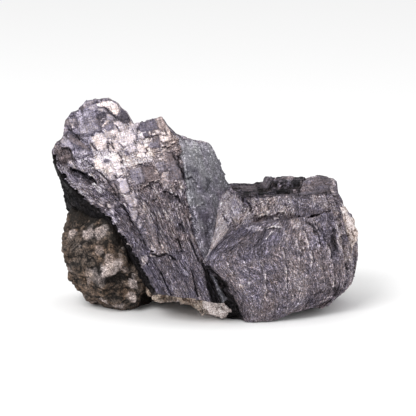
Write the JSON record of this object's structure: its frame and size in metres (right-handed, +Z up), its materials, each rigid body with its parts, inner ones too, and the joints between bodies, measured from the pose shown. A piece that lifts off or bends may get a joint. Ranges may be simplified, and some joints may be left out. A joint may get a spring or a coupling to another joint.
{
  "type": "galena specimen",
  "caption": "Free-standing mineral specimen: leaning cleaved galena crystal with a shelf and rounded bulge, on rough brown matrix; rests on its own small flats.",
  "frame": {"origin": "middle of the footprint box, on the plane that the specimen rests on", "axes": "+X along the specimen's length towards the rounded bulge, +Y towards its back, +Z up"},
  "size_m": [0.125, 0.0688, 0.085],
  "materials": {
    "galena": "broken cubic cleavage, satin lead-grey metal lustre",
    "matrix": "rough, dull, with pale quartz"
  },
  "bodies": {
    "root": {"galena": "galena", "matrix": "matrix"}
  },
  "joints": []
}
